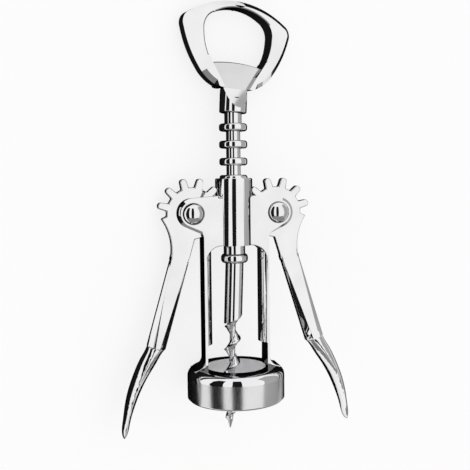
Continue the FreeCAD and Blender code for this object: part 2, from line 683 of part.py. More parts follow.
def auger_solid(length):
    """The worm's thread and core, from Z = -length up to Z = 0, as one twisted sweep."""
    pitch = value("worm_pitch")
    spine = Part.Wire(Part.LineSegment(Vector(0, 0, 0), Vector(0, 0, length)).toShape())
    guide = Part.makeHelix(pitch, length, value("worm_radius"))
    sweep = Part.BRepOffsetAPI.MakePipeShell(spine)
    sweep.setAuxiliarySpine(guide, True, 0)
    sweep.add(auger_section(), False, False)
    if not sweep.isReady():
        raise RuntimeError("the worm's sweep isn't ready")
    sweep.build()
    sweep.makeSolid()
    auger = sweep.shape()
    auger.translate(Vector(0, 0, -length))
    auger.rotate(Vector(0, 0, 0), Vector(0, 0, 1), value("worm_phase") - 360 * length / pitch)
    return auger


def worm_solid():
    """Tenon, shank, plain shaft and auger, with Z = 0 at the top of the plain shaft."""
    length = value("shaft_top / cos(worm_lean)")
    shaft_end = value("shaft_length")
    start = shaft_end - value("worm_radius")
    blank = auger_solid(length - start)
    blank.translate(Vector(0, 0, -start))
    taper = value("worm_taper")
    envelope = Part.makeCone(
        value("worm_point"), value("worm_radius") * 1.02, taper, Vector(0, 0, -length)
    ).fuse(Part.makeCylinder(
        value("worm_radius") * 1.02, length - taper - start, Vector(0, 0, taper - length)
    ))
    auger = blank.common(envelope)
    radius, slant = value("shaft_radius"), value("shaft_slant")
    shaft = Part.makeCylinder(radius, shaft_end + 2 * radius, Vector(0, 0, -shaft_end - radius))
    block = Part.makeBox(6 * radius, 4 * radius, 4 * radius, Vector(-3 * radius, -2 * radius, 0))
    below = block.translated(Vector(0, 0, -4 * radius))
    below.rotate(Vector(0, 0, 0), Vector(0, 1, 0), -slant)
    below.translate(Vector(0, 0, -shaft_end))
    lower = shaft.cut(below).fuse(auger)
    lower.rotate(Vector(0, 0, 0), Vector(0, 1, 0), value("worm_lean"))
    lower = lower.cut(block)
    above = value("rack_bottom - shaft_top")
    upper = Part.makeCylinder(value("worm_shank"), above)
    upper = upper.fuse(Part.makeCylinder(value("worm_tenon"), above + value("tenon_length")))
    return lower.fuse(upper).removeSplitter()


def make_worm():
    """The worm, held in the rack rod by its tenon."""
    worm = doc.addObject("Part::Feature", "worm")
    worm.Shape = worm_solid()
    return worm


def rest_placement(pieces):
    """Where the upright corkscrew goes to lie on its back, with its box centred on the origin:
    the handle lies flat, and the collar's shoulder and the handle's far edge touch the floor."""
    reach = value("shank_level + corner_level + bow_round"
                  " - sqrt(bow_round ^ 2 - corner_half ^ 2) - collar_top + shoulder_round")
    fall = value("collar_radius - shoulder_round - handle_thickness / 2")
    lean = math.degrees(
        math.atan2(fall, reach) + math.asin(value("shoulder_round") / math.hypot(fall, reach))
    )
    flat = Rotation(Vector(1, 0, 0), -90 - lean)
    turn = flat.multiply(Rotation(Vector(0, 0, 1), -value("handle_turn")))
    box = FreeCAD.BoundBox()
    for piece, own in pieces:
        shape = piece.Shape.copy()
        shape.Placement = Placement(Vector(), turn).multiply(own).multiply(
            shape.Placement if piece.TypeId == "Part::Feature" else piece.Placement
        )
        box.add(shape.optimalBoundingBox())
    return Placement(Vector(-box.Center.x, -box.Center.y, -box.ZMin), turn)


def main():
    """Builds the document, checks it and writes a STEP file for each sub-part."""
    fill_sheet()
    upright = Placement()
    pivot = (value("pivot_spread"), value("pivot_level"))
    splay, lean = value("wing_splay"), value("wing_lean")
    handle_way = Rotation(Vector(0, 0, 1), value("handle_turn")).multiply(
        Rotation(Vector(0, 1, 0), value("handle_lean"))
    )
    blank = make_wing_blank()
    mirrored = doc.addObject("Part::Mirroring", "left_wing_blank")
    mirrored.Source = blank
    mirrored.Normal = Vector(1, 0, 0)
    wing_left = make_wing("left", mirrored)
    wing_right = make_wing("right", blank)
    pieces = [
        (make_casting(), upright),
        (make_rivet("left", "-"), upright),
        (make_rivet("right", ""), upright),
        (wing_left, Placement(Vector(-pivot[0], 0, pivot[1]),
                              Rotation(Vector(0, 1, 0), splay - lean))),
        (wing_right, Placement(Vector(pivot[0], 0, pivot[1]),
                               Rotation(Vector(0, 1, 0), -splay - lean))),
        (make_ferrule(), upright),
        (make_rack(), upright),
        (make_handle(), Placement(Vector(0, 0, value("shank_level")), handle_way)),
        (make_worm(), Placement(Vector(0, 0, value("shaft_top")), Rotation())),
    ]
    doc.recompute()
    lay = rest_placement(pieces)
    for piece, own in pieces:
        piece.Label = piece.Name
        piece.Placement = lay.multiply(own)
    doc.recompute()
    faulty = [o.Name for o in doc.Objects if {"Invalid", "Error"} & set(o.State)]
    if faulty:
        raise RuntimeError("not built: " + ", ".join(faulty))
    for piece, _ in pieces:
        shape = piece.Shape
        if shape.isNull() or not shape.isValid() or not shape.Solids:
            raise RuntimeError(piece.Label + " has no valid solid")
    os.makedirs("parts", exist_ok=True)
    for piece, _ in pieces:
        piece.Shape.exportStep(f"parts/{piece.Label}.step")
        print(f"{piece.Label}: {len(piece.Shape.Solids)} solid, {piece.Shape.Volume:.1f} mm3")
    print("laid by", lay.Base, lay.Rotation.Q)


main()
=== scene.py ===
"""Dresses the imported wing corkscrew: rounded, plated pieces on a pale studio floor.

The pieces are shaped in the upright corkscrew's own millimetres, with the spindle on Z and
the front towards -Y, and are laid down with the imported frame's own joints as the guide.
"""
import json
import math

import bmesh
import bpy
from bpy.props import FloatProperty, FloatVectorProperty, IntProperty, PointerProperty
from mathutils import Matrix, Vector


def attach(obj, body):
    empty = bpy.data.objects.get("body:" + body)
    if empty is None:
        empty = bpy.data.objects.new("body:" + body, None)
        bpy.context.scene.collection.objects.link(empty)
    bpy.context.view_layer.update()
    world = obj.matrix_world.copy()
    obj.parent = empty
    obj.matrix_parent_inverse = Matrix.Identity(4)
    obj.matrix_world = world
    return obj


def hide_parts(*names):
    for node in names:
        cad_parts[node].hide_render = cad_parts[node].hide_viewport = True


bl_info = {
    "name": "Wing Corkscrew",
    "version": (1, 2, 0),
    "blender": (4, 5, 0),
    "location": "View3D > Sidebar > Corkscrew",
    "description": "Models the finished pieces of a wing corkscrew over its packed frame",
    "category": "Add Mesh",
}

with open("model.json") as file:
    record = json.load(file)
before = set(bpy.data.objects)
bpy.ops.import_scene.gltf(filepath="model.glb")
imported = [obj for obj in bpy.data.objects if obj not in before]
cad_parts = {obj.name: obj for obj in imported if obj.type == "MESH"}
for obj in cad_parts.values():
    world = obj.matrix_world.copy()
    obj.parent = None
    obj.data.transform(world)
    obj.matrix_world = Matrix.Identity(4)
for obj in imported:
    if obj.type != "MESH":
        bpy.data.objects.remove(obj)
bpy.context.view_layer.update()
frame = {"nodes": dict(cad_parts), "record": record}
MM = 0.001
PIVOT_LEVEL = 86.8

# How closely a vertex has to lie to where it is looked for, in mm
NEAR, TOUCHING, EXACT = 0.02, 0.01, 0.001

CAMERA_LENS = 57.968
CAMERA_PLACE = Vector((-0.14589, 0.04485, 0.27211))
CAMERA_TURN = (
    (0.87458, 0.04519, -0.48277), (0.04172, 0.98494, 0.16778), (0.48308, -0.16688, 0.85952),
)


def lay_matrix():
    """From upright metres to the lying frame, read off the lever and spindle joints."""
    joints = {joint["name"]: joint for joint in frame["record"]["behaviour"]["joints"]}
    up = Vector(joints["spindle_turn"]["axis"])
    back = Vector(joints["lever_left_raise"]["axis"])
    across = back.cross(up)
    right = Vector(joints["lever_right_raise"]["pos_m"])
    left = Vector(joints["lever_left_raise"]["pos_m"])
    floor_point = (right + left) / 2 - up * PIVOT_LEVEL * MM
    turn = Matrix((across, back, up)).transposed().to_4x4()
    return Matrix.Translation(floor_point) @ turn


def pivot_spread():
    """Half of the distance between the levers' pivots, in millimetres."""
    first, second = frame["record"]["behaviour"]["joints"][:2]
    return (Vector(first["pos_m"]) - Vector(second["pos_m"])).length / 2 / MM


LAY = lay_matrix()
STAND = LAY.inverted()
PIVOT_SPREAD = pivot_spread()
CAMERA_STOOD = STAND @ CAMERA_PLACE
CAMERA_SIDE = math.atan2(CAMERA_STOOD.x, -CAMERA_STOOD.y)


class CorkscrewSizes(bpy.types.PropertyGroup):
    """Places, sizes and roundings that the finished pieces are worked to."""

    pivot_level: FloatProperty(
        name="Pivot level", description="Lever pivots above the plane of the points, in mm",
        default=PIVOT_LEVEL, min=10,
    )
    shank_level: FloatProperty(
        name="Shank level", description="Foot of the handle's shank, in mm", default=125.9, min=10,
    )
    handle_turn: FloatProperty(
        name="Handle turn", description="Handle's turn about the spindle at rest",
        default=math.radians(16), subtype="ANGLE",
    )
    handle_lean: FloatProperty(
        name="Handle lean", description="How far the handle leans askew on the spindle",
        default=math.radians(3), subtype="ANGLE",
    )
    yoke_half: FloatProperty(
        name="Yoke half depth", description="Half of arms and ears from front to back, in mm",
        default=4.9, min=1,
    )
    ear_round: FloatProperty(
        name="Ear edge", description="Chamfered edge of the ears, in mm", default=1.0, min=0.1,
    )
    arm_round: FloatProperty(
        name="Arm rounding", description="Rounded edge of the arms and their feet, in mm",
        default=0.4, min=0.1,
    )
    edge_round: FloatProperty(
        name="Edge rounding", description="Polished edges of the levers, in mm",
        default=0.45, min=0.05,
    )
    handle_chamfer: FloatProperty(
        name="Handle chamfer", description="Chamfer's width on the handle's faces, in mm",
        default=1.7, min=0.1,
    )
    handle_inner: FloatProperty(
        name="Handle inner rounding", description="Rounded edge of the handle's hole, in mm",
        default=0.9, min=0.1,
    )
    handle_drop: FloatProperty(
        name="Handle drop", description="How far the handle's chamfer falls back, in mm",
        default=1.4, min=0.1,
    )
    handle_half_depth: FloatProperty(
        name="Handle half depth", description="Half of the handle's thickness, in mm",
        default=3.3, min=1,
    )
    handle_foot: FloatProperty(
        name="Handle foot", description="Ring's lower edge above the shank's foot, in mm",
        default=9.3, min=1,
    )
    tongue_height: FloatProperty(
        name="Tongue height", description="Tongue's edge above the ring's lower edge, in mm",
        default=10.3, min=1,
    )
    tongue_half: FloatProperty(
        name="Tongue half depth", description="Half of the tongue's thickness, in mm",
        default=1.4, min=0.2,
    )
    tongue_reach: FloatProperty(
        name="Tongue reach", description="Half of the length of the tongue's edge, in mm",
        default=12.0, min=1,
    )
    tongue_bow: FloatProperty(
        name="Tongue bow", description="How far the ends of the tongue's edge fall, in mm",
        default=1.2, min=0,
    )
    tongue_edge: FloatProperty(
        name="Tongue edge", description="Height of the slope along the tongue's edge, in mm",
        default=0.45, min=0.05,
    )
    tongue_slope: FloatProperty(
        name="Tongue slope", description="How much further that slope reaches back, in mm",
        default=0.7, min=0,
    )
    lever_half: FloatProperty(
        name="Lever half thickness", description="Half of a lever's thickness, in mm",
        default=1.8, min=0.5,
    )
    neck_reach: FloatProperty(
        name="Neck reach", description="From pivot to where the lever's flat part ends, in mm",
        default=40, min=10,
    )
    rack_bottom: FloatProperty(
        name="Rack bottom", description="Lower end of the rack's rod, in mm", default=77.5, min=10,
    )
    lowest_ring: FloatProperty(
        name="Lowest ring", description="Level of the rack's lowest ring, in mm", default=80.1,
        min=10,
    )
    ring_pitch: FloatProperty(
        name="Ring pitch", description="From ring to ring, in mm", default=6.7, min=1,
    )
    ring_count: IntProperty(name="Rings", description="Rings on the rack", default=7, min=1)
    ring_radius: FloatProperty(
        name="Ring radius", description="Outer radius of the rack's rings, in mm", default=5.55,
        min=1,
    )
    ring_thickness: FloatProperty(
        name="Ring thickness", description="Thickness of the rack's rings, in mm", default=3.0,
        min=0.5,
    )
    ring_round: FloatProperty(
        name="Ring rounding", description="Rounded rims of the rack's rings, in mm", default=1.0,
        min=0.1,
    )
    arm_outside: FloatProperty(
        name="Arm outside", description="Arm's outer side from the middle, in mm", default=13.1,
        min=1,
    )
    collar_top: FloatProperty(
        name="Collar top", description="Level of the collar's top, in mm", default=25.2, min=1,
    )
    foot_flare: FloatProperty(
        name="Foot flare", description="Hollow rounding of an arm's foot, in mm", default=4.2,
        min=0.5,
    )
    shaft_top: FloatProperty(
        name="Shaft top", description="Level of the top of the worm's plain shaft, in mm",
        default=66.8, min=10,
    )
    worm_start: FloatProperty(
        name="Worm start", description="Thread's start below the shaft's top, in mm",
        default=19.2, min=1,
    )
    worm_length: FloatProperty(
        name="Worm length", description="From the shaft's top to the worm's point, in mm",
        default=66.5, min=10,
    )
    worm_pitch: FloatProperty(
        name="Worm pitch", description="Rise of one turn, in mm", default=9.3, min=1,
    )
    worm_phase: FloatProperty(
        name="Worm phase", description="Direction of the thread at its start",
        default=math.radians(60), subtype="ANGLE",
    )
    worm_lean: FloatProperty(
        name="Worm lean", description="Lean of the worm out of the spindle's line",
        default=math.radians(2.2), subtype="ANGLE",
    )
    worm_taper: FloatProperty(
        name="Worm taper", description="Length over which it comes to a point, in mm",
        default=6.0, min=1,
    )
    thread_radius: FloatProperty(
        name="Thread radius", description="Outside of the thread, in mm", default=3.33, min=1,
    )
    wire_radius: FloatProperty(
        name="Wire radius", description="Half the thickness of the worm's wire, in mm", default=1.7,
        min=0.3,
    )
    wire_offset: FloatProperty(
        name="Wire offset", description="Wire's middle out of the worm's line, in mm",
        default=0.95, min=0,
    )
    rod_radius: FloatProperty(
        name="Rod radius", description="Rod between the rings, in mm", default=2.8, min=0.5,
    )
    neck_radius: FloatProperty(
        name="Neck radius", description="Rod above the top ring, in mm", default=3.4, min=0.5,
    )


class CorkscrewFinish(bpy.types.PropertyGroup):
    """Colours and gloss of the plating and the studio."""

    plating: FloatVectorProperty(
        name="Plating", description="Polished plating", subtype="COLOR", size=3,
        default=(0.90, 0.90, 0.91), min=0, max=1,
    )
    plating_haze: FloatProperty(
        name="Plating haze", description="Roughness of the polished plating", default=0.045,
        min=0, max=1,
    )
    satin: FloatVectorProperty(
        name="Satin plating", description="Collar's softly polished side", subtype="COLOR", size=3,
        default=(0.80, 0.80, 0.81), min=0, max=1,
    )
    satin_haze: FloatProperty(
        name="Satin haze", description="Roughness of the collar's side", default=0.2,
        min=0, max=1,
    )
    cast: FloatVectorProperty(
        name="Cast plating", description="Collar's inside", subtype="COLOR", size=3,
        default=(0.88, 0.88, 0.89), min=0, max=1,
    )
    cast_haze: FloatProperty(
        name="Cast haze", description="Roughness of the collar's inside", default=0.42,
        min=0, max=1,
    )
    tongue: FloatVectorProperty(
        name="Tongue plating", description="Opener's tongue and facet", subtype="COLOR", size=3,
        default=(0.74, 0.74, 0.75), min=0, max=1,
    )
    tongue_haze: FloatProperty(
        name="Tongue haze", description="Roughness of the tongue", default=0.12, min=0, max=1,
    )
    edge_shade: FloatProperty(
        name="Edge shade", description="Reflection left at a grazing view", default=0.0,
        min=0, max=1,
    )
    floor: FloatVectorProperty(
        name="Floor", description="Pale studio floor", subtype="COLOR", size=3,
        default=(0.95, 0.95, 0.95), min=0, max=1,
    )


def sizes():
    """The sizes that a user may change."""
    return bpy.context.scene.corkscrew_sizes


def finish():
    """The colours that a user may change."""
    return bpy.context.scene.corkscrew_finish


def noise(nodes, links, place, scale, detail):
    """A noise pattern on the coordinates of a place socket."""
    pattern = nodes.new("ShaderNodeTexNoise")
    pattern.inputs["Scale"].default_value = scale
    pattern.inputs["Detail"].default_value = detail
    links.new(place, pattern.inputs["Vector"])
    return pattern.outputs["Fac"]


def plating(name, tint, haze, grain, metal):
    """Bright plating: faint cloudiness in tint and gloss, a trace of buffing and soft waves."""
    cloud_scale, buffing_scale, wave_scale = 90, 2600, 160
    dull_tint, bright_tint = [c * 0.955 for c in tint], [min(c * 1.02, 1) for c in tint]
    material = bpy.data.materials.new(name)
    material.use_nodes = True
    nodes, links = material.node_tree.nodes, material.node_tree.links
    shader = nodes["Principled BSDF"]
    shader.inputs["Metallic"].default_value = metal
    shade = finish().edge_shade
    shader.inputs["Specular Tint"].default_value = (shade, shade, shade, 1)
    place = nodes.new("ShaderNodeTexCoord").outputs["Object"]
    tone = nodes.new("ShaderNodeValToRGB")
    dull, bright = tone.color_ramp.elements
    dull.position, dull.color = 0.35, (*dull_tint, 1)
    bright.position, bright.color = 0.65, (*bright_tint, 1)
    links.new(noise(nodes, links, place, cloud_scale, 4), tone.inputs["Fac"])
    links.new(tone.outputs["Color"], shader.inputs["Base Color"])
    stretch = nodes.new("ShaderNodeMapping")
    stretch.inputs["Scale"].default_value = (1, 0.08, 1)
    links.new(place, stretch.inputs["Vector"])
    buffing = noise(nodes, links, stretch.outputs["Vector"], buffing_scale, 3)
    gloss = nodes.new("ShaderNodeMapRange")
    gloss.inputs["From Min"].default_value = 0.3
    gloss.inputs["From Max"].default_value = 0.7
    gloss.inputs["To Min"].default_value = haze * 0.85
    gloss.inputs["To Max"].default_value = haze * 1.2
    links.new(buffing, gloss.inputs["Value"])
    links.new(gloss.outputs["Result"], shader.inputs["Roughness"])
    relief = nodes.new("ShaderNodeBump")
    relief.inputs["Strength"].default_value = 0.05 * grain
    relief.inputs["Distance"].default_value = 0.0002
    links.new(noise(nodes, links, place, wave_scale, 1), relief.inputs["Height"])
    links.new(relief.outputs["Normal"], shader.inputs["Normal"])
    return material


def material(key):
    """A shared finish by its key, made when it is first asked for. Its row gives the tint, the
    haze, the strength of the soft waves and how metallic it is."""
    name = key + "_plating"
    if name in bpy.data.materials:
        return bpy.data.materials[name]
    look = finish()
    return plating(name, *{
        "polished": (look.plating, look.plating_haze, 1.0, 1.0),
        "turned": (look.plating, look.plating_haze * 0.8, 0.5, 1.0),
        "satin": (look.satin, look.satin_haze, 1.0, 1.0),
        "cast": (look.cast, look.cast_haze, 2.0, 0.35),
        "tongue": (look.tongue, look.tongue_haze, 1.0, 1.0),
    }[key])


def only(piece):
    """Selects one piece and makes it the active one."""
    bpy.ops.object.select_all(action="DESELECT")
    piece.select_set(True)
    bpy.context.view_layer.objects.active = piece


def pick(piece, kind, chosen):
    """Opens a piece in edit mode with only the vertices, edges or faces selected that chosen()
    takes, and says how many there are."""
    only(piece)
    bpy.ops.object.mode_set(mode="EDIT")
    bpy.ops.mesh.select_all(action="DESELECT")
    bpy.ops.mesh.select_mode(type=kind)
    mesh = bmesh.from_edit_mesh(piece.data)
    parts = {"VERT": mesh.verts, "EDGE": mesh.edges, "FACE": mesh.faces}[kind]
    picked = [part for part in parts if chosen(part)]
    for part in picked:
        part.select_set(True)
    bmesh.update_edit_mesh(piece.data)
    return len(picked)


def ends(edge, inverse):
    """Both ends of an edge, in millimetres of the inverse's frame."""
    return [(inverse @ vertex.co) / MM for vertex in edge.verts]


def face_outwards(piece):
    """Turns the faces of a closed piece outwards."""
    only(piece)
    bpy.ops.object.mode_set(mode="EDIT")
    bpy.ops.mesh.select_all(action="SELECT")
    bpy.ops.mesh.normals_make_consistent(inside=False)
    bpy.ops.object.mode_set(mode="OBJECT")


def taken_from(node, name):
    """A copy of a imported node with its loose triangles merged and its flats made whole."""
    source = frame["nodes"][node]
    piece = source.copy()
    piece.data = source.data.copy()
    piece.name = name
    piece.data.name = name
    for key in list(piece.keys()):
        del piece[key]
    piece.parent = None
    piece.matrix_world = Matrix()
    bpy.context.scene.collection.objects.link(piece)
    only(piece)
    bpy.ops.object.mode_set(mode="EDIT")
    bpy.ops.mesh.select_all(action="SELECT")
    bpy.ops.mesh.remove_doubles(threshold=0.000002)
    bpy.ops.mesh.dissolve_limited(angle_limit=math.radians(0.05))
    bpy.ops.object.mode_set(mode="OBJECT")
    return piece


def round_edges(piece, width, steps, wanted, inverse=STAND, sharper=24):
    """Bevels the sharp edges of a piece that wanted() picks by their ends, in millimetres."""

    def sharp(edge):
        return (
            len(edge.link_faces) == 2 and edge.calc_face_angle() >= math.radians(sharper)
            and wanted(*ends(edge, inverse))
        )

    if not pick(piece, "EDGE", sharp):
        raise RuntimeError(piece.name + ": no edge to round")
    bpy.ops.mesh.bevel(
        offset=width * MM, segments=steps, profile=0.5, affect="EDGES", clamp_overlap=False,
    )
    bpy.ops.mesh.select_all(action="SELECT")
    bpy.ops.mesh.remove_doubles(threshold=0.000001)
    bpy.ops.object.mode_set(mode="OBJECT")


def shift(piece, wanted, move, inverse=STAND):
    """Moves the vertices that wanted() picks, both in millimetres of the inverse's frame."""
    pick(piece, "VERT", lambda vertex: wanted((inverse @ vertex.co) / MM))
    way = inverse.inverted().to_3x3() @ Vector(move) * MM
    bpy.ops.transform.translate(value=way)
    bpy.ops.object.mode_set(mode="OBJECT")


def crease(piece, angle, least, inverse=STAND, wanted=lambda centre: True):
    """Marks sharp where a flat face of at least so many mm2 meets another at an angle."""

    def flat(face):
        centre = (inverse @ face.calc_center_median()) / MM
        return face.calc_area() > least * MM * MM and wanted(centre)

    def creased(edge):
        return (
            any(flat(face) for face in edge.link_faces) and len(edge.link_faces) == 2
            and edge.calc_face_angle() > math.radians(angle)
        )

    pick(piece, "EDGE", creased)
    bpy.ops.mesh.mark_sharp()
    bpy.ops.object.mode_set(mode="OBJECT")


def smooth(piece, angle=34):
    """Smooth shading up to an angle, with normals weighted so that flats stay flat."""
    only(piece)
    bpy.ops.object.shade_smooth_by_angle(angle=math.radians(angle), keep_sharp_edges=True)
    weighted = piece.modifiers.new("weighted", "WEIGHTED_NORMAL")
    weighted.keep_sharp = True
    bpy.ops.object.modifier_apply(modifier=weighted.name)


def placed(piece, body, finishes, node=None):
    """Gives a finished piece its materials and body, and hides the node it stands for, if any."""
    piece.data.materials.clear()
    for key in finishes:
        piece.data.materials.append(material(key))
    if node:
        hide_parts(node)
    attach(piece, body)


def lathe(name, rings, steps=96):
    """A turned piece: a circle drawn up the spindle's line, ring by ring, and closed."""
    bpy.ops.object.select_all(action="DESELECT")
    radius, level = rings[0]
    bpy.ops.mesh.primitive_circle_add(
        vertices=steps, radius=radius * MM, fill_type="NGON", location=(0, 0, level * MM),
    )
    piece = bpy.context.active_object
    piece.name = name
    piece.data.name = name
    bpy.ops.object.transform_apply(location=True, rotation=True, scale=True)
    bpy.ops.object.mode_set(mode="EDIT")
    bpy.ops.mesh.select_all(action="SELECT")
    for (old_radius, old_level), (new_radius, new_level) in zip(rings, rings[1:]):
        bpy.ops.mesh.extrude_region_move(
            TRANSFORM_OT_translate={"value": (0, 0, (new_level - old_level) * MM)}
        )
        scale = new_radius / old_radius
        bpy.ops.transform.resize(
            value=(scale, scale, 1), center_override=(0, 0, new_level * MM)
        )
    bpy.ops.object.mode_set(mode="OBJECT")
    face_outwards(piece)
    return piece


def arc(centre_radius, centre_level, radius, start, end, steps=6):
    """Rings along a rounded rim, from one angle to another, in degrees."""
    angles = [start + (end - start) * step / steps for step in range(steps + 1)]
    return [
        (centre_radius + radius * math.cos(math.radians(a)),
         centre_level + radius * math.sin(math.radians(a)))
        for a in angles
    ]


def lay_down(piece):
    """Moves an upright piece into the lying frame and applies its place to its mesh."""
    only(piece)
    piece.matrix_world = LAY
    bpy.ops.object.transform_apply(location=True, rotation=True, scale=True)


class CORKSCREW_OT_casting(bpy.types.Operator):
    """Finishes the cast frame: chamfered ears, rounded arms, and a satin side on the collar"""

    bl_idname = "corkscrew.casting"
    bl_label = "Frame Casting"

    def execute(self, context):
        size = sizes()
        ear_fall, ear_margin, row_margin, chamfer_rise = 8.3, 0.3, 2, 0.33
        barrel_side, arm_inside, arm_foot, ear_side = 5.4, 5, 27.1, 7
        half, ear_foot = size.yoke_half, size.pivot_level - ear_fall
        piece = taken_from("frame_casting", "frame_casting_plated")

        def on_face(a, b):
            return all(abs(abs(p.y) - half) < NEAR for p in (a, b))

        def on_ear(a, b):
            return on_face(a, b) and all(
                p.z > ear_foot - ear_margin and abs(p.x) > barrel_side for p in (a, b)
            )

        def on_arm(a, b):
            return on_face(a, b) and all(
                arm_foot < p.z < ear_foot + TOUCHING and abs(p.x) > arm_inside for p in (a, b)
            )

        round_edges(piece, size.ear_round, 1, on_ear)
        row = half - size.ear_round
        for way in (-1, 1):
            shift(
                piece,
                lambda p: abs(p.y - way * row) < NEAR and p.z > ear_foot - row_margin
                and abs(p.x) > ear_side,
                (0, way * chamfer_rise * size.ear_round, 0),
            )
        round_edges(piece, size.arm_round, 3, on_arm)
        smooth(piece)
        placed(piece, "frame", ("polished", "satin", "cast"), "frame_casting")
        satin_reach, satin_top, recess_reach, recess_top = 19.25, 21.8, 16, 24.9
        for face in piece.data.polygons:
            centre = (STAND @ face.center) / MM
            reach = math.hypot(centre.x, centre.y)
            if reach > satin_reach and centre.z < satin_top:
                face.material_index = 1
            if reach < recess_reach and centre.z < recess_top:
                face.material_index = 2
        return {"FINISHED"}


class CORKSCREW_OT_feet(bpy.types.Operator):
    """Flares both arms out over the collar: a block pulled down and widened step by step"""

    bl_idname = "corkscrew.feet"
    bl_label = "Arm Feet"

    def execute(self, context):
        size = sizes()
        flare, outside = size.foot_flare, size.arm_outside
        depth, skin, sunk, side, level_edge = 0.4, 0.02, 2.5, 4, 0.1
        start = size.collar_top + flare
        bpy.ops.object.select_all(action="DESELECT")
        bpy.ops.mesh.primitive_plane_add(size=1)
        piece = bpy.context.active_object
        piece.name = piece.data.name = "foot_right"
        piece.scale = (depth * MM, 2 * (size.yoke_half - skin) * MM, 1)
        piece.location = ((outside - depth / 2 + skin) * MM, 0, start * MM)
        bpy.ops.object.transform_apply(location=True, rotation=True, scale=True)
        level, reach = start, outside
        for turn in range(10, 91, 10):
            angle = math.radians(turn)
            new_level = start - flare * math.sin(angle)
            new_reach = outside + flare * (1 - math.cos(angle))
            self.pull(piece, level, level - new_level)
            level = new_level
            shift(
                piece,
                lambda p: abs(p.z - level) < EXACT and p.x > outside - depth / 2,
                (new_reach - reach, 0, 0), Matrix(),
            )
            reach = new_reach
        self.pull(piece, level, sunk)
        face_outwards(piece)
        round_edges(
            piece, size.arm_round, 3,
            lambda a, b: all(p.x > outside and abs(p.y) > side for p in (a, b))
            and abs(a.y - b.y) < level_edge, Matrix(),
        )
        bpy.ops.object.duplicate()
        other = bpy.context.active_object
        other.name = other.data.name = "foot_left"
        bpy.ops.transform.mirror(constraint_axis=(True, False, False))
        bpy.ops.object.transform_apply(location=True, rotation=True, scale=True)
        face_outwards(other)
        for foot in (piece, other):
            lay_down(foot)
            smooth(foot)
            placed(foot, "frame", ("polished",))
        return {"FINISHED"}

    def pull(self, piece, level, fall):
        """Extrudes the lowest face of a block, which is at a known level, further down."""
        pick(piece, "FACE", lambda face: abs(face.calc_center_median().z / MM - level) < EXACT)
        bpy.ops.mesh.extrude_region_move(TRANSFORM_OT_translate={"value": (0, 0, -fall * MM)})
        bpy.ops.object.mode_set(mode="OBJECT")


class CORKSCREW_OT_levers(bpy.types.Operator):
    """Finishes both levers: the flat outline of teeth and neck gets its polished rounding"""

    bl_idname = "corkscrew.levers"
    bl_label = "Levers"

    def execute(self, context):
        size = sizes()
        bore = 4
        for side, sign in (("left", -1), ("right", 1)):
            piece = taken_from("wing_" + side, f"wing_{side}_plated")
            pivot = Vector((sign * PIVOT_SPREAD, 0, size.pivot_level))

            def flat_outline(a, b):
                return all(
                    abs(abs(p.y) - size.lever_half) < NEAR
                    and bore < math.hypot(p.x - pivot.x, p.z - pivot.z) < size.neck_reach
                    for p in (a, b)
                )

            round_edges(piece, size.edge_round, 3, flat_outline)
            smooth(piece)
            placed(piece, "lever_" + side, ("polished",), "wing_" + side)
        return {"FINISHED"}


